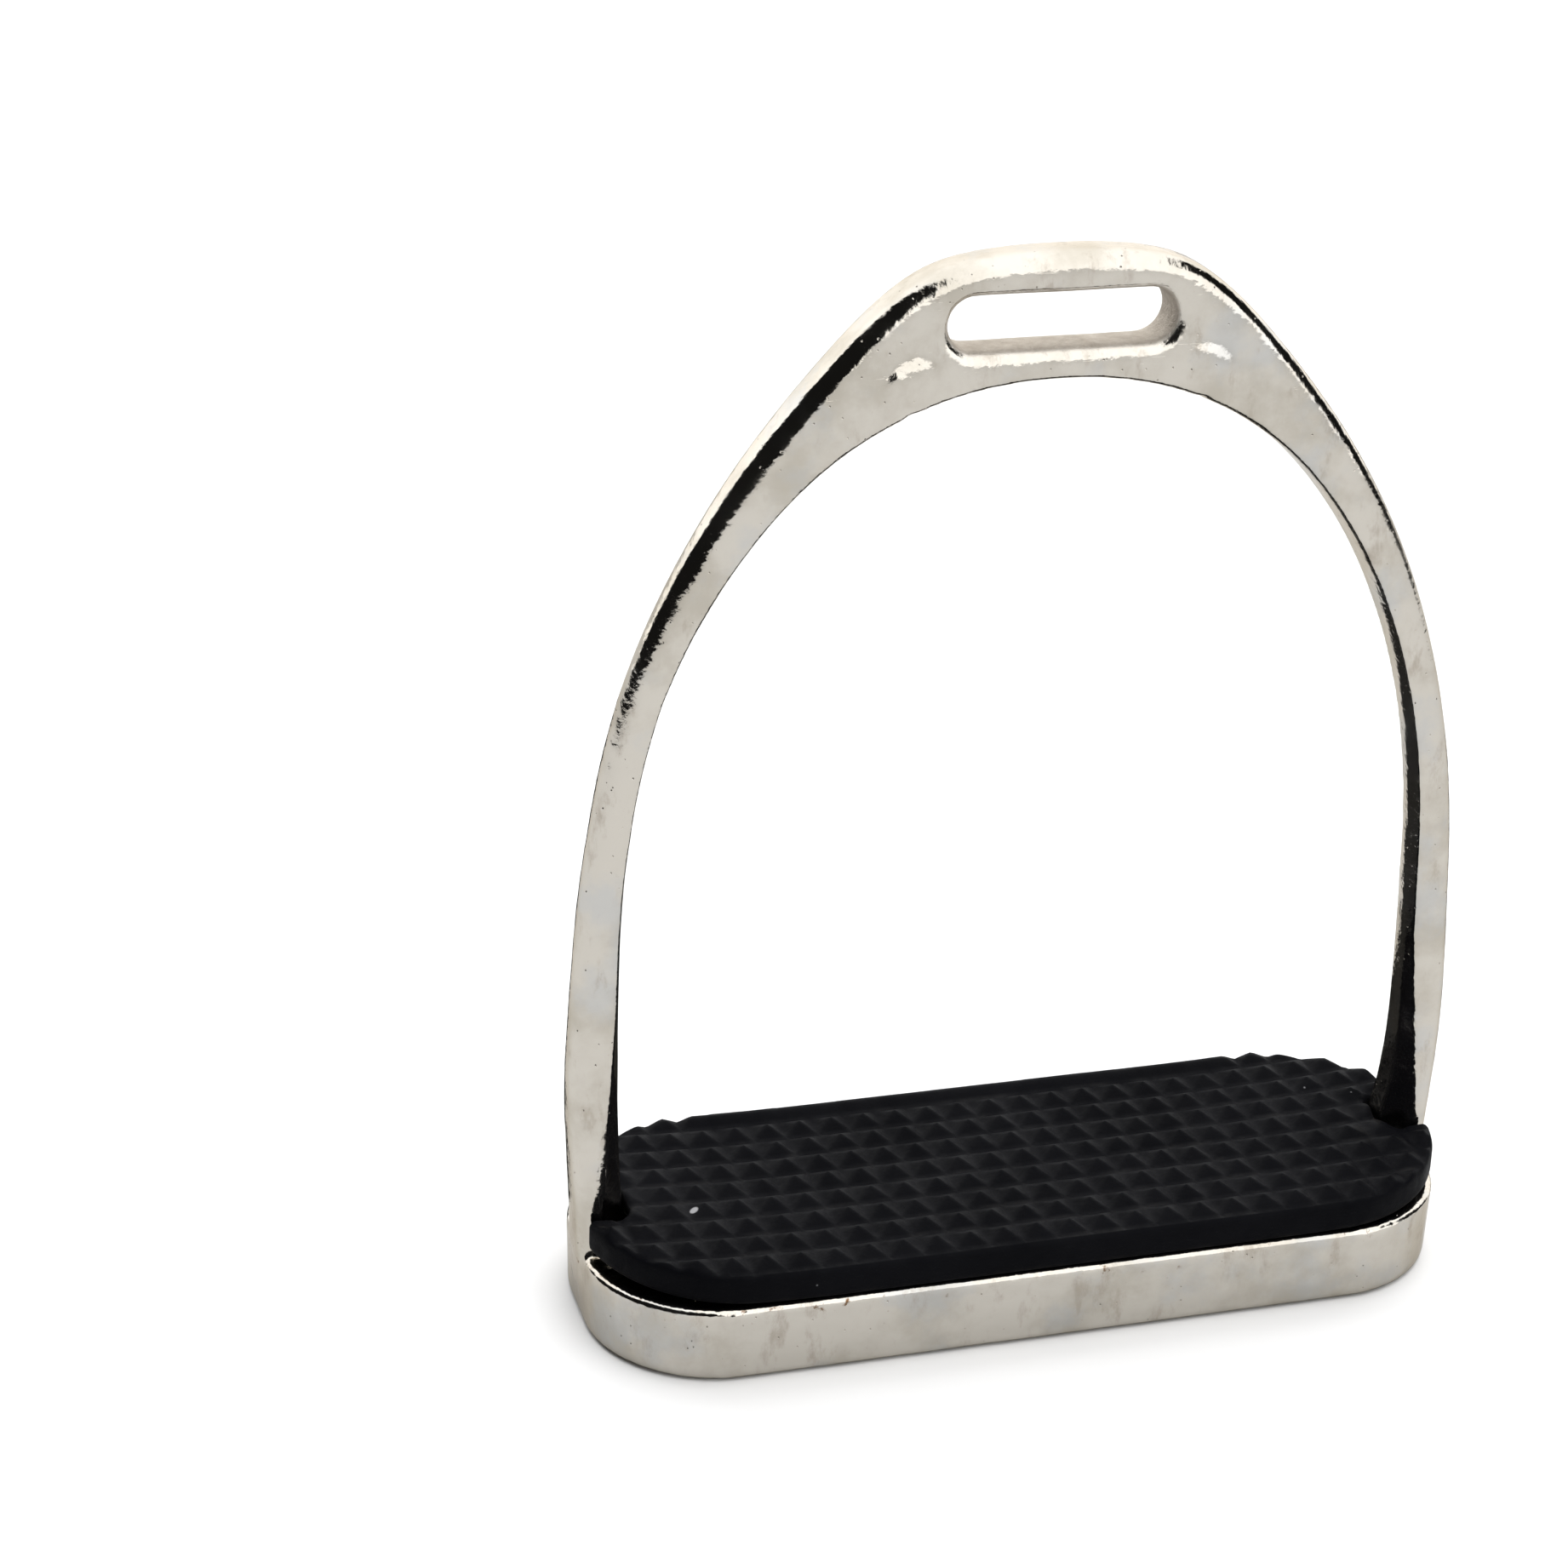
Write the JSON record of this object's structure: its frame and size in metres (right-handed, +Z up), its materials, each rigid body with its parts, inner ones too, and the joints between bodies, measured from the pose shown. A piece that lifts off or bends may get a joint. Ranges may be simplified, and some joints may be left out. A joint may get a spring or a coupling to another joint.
{
  "type": "stirrup iron",
  "caption": "Plated riding stirrup iron with an arched frame, an eye for the leather and a toothed rubber tread pressed into its base.",
  "frame": {"origin": "centre of the underside of the base", "axes": "+X across the foot, +Y back through the arch with the front face at -Y, +Z up to the leather eye"},
  "size_m": [0.135, 0.0468, 0.155],
  "materials": {
    "nickel_plate": "polished nickel plate over a casting, with fine pits and scratches",
    "tread_rubber": "matte moulded rubber with dusty valleys between its teeth"
  },
  "bodies": {
    "iron": {"stirrup_iron": "nickel_plate"},
    "tread": {"tread_pad": "tread_rubber"}
  },
  "joints": [
    {"name": "tread_lift", "type": "slide", "parent": "iron", "child": "tread", "axis": [0, 0, 1], "range_m": [0, 0.03]}
  ]
}
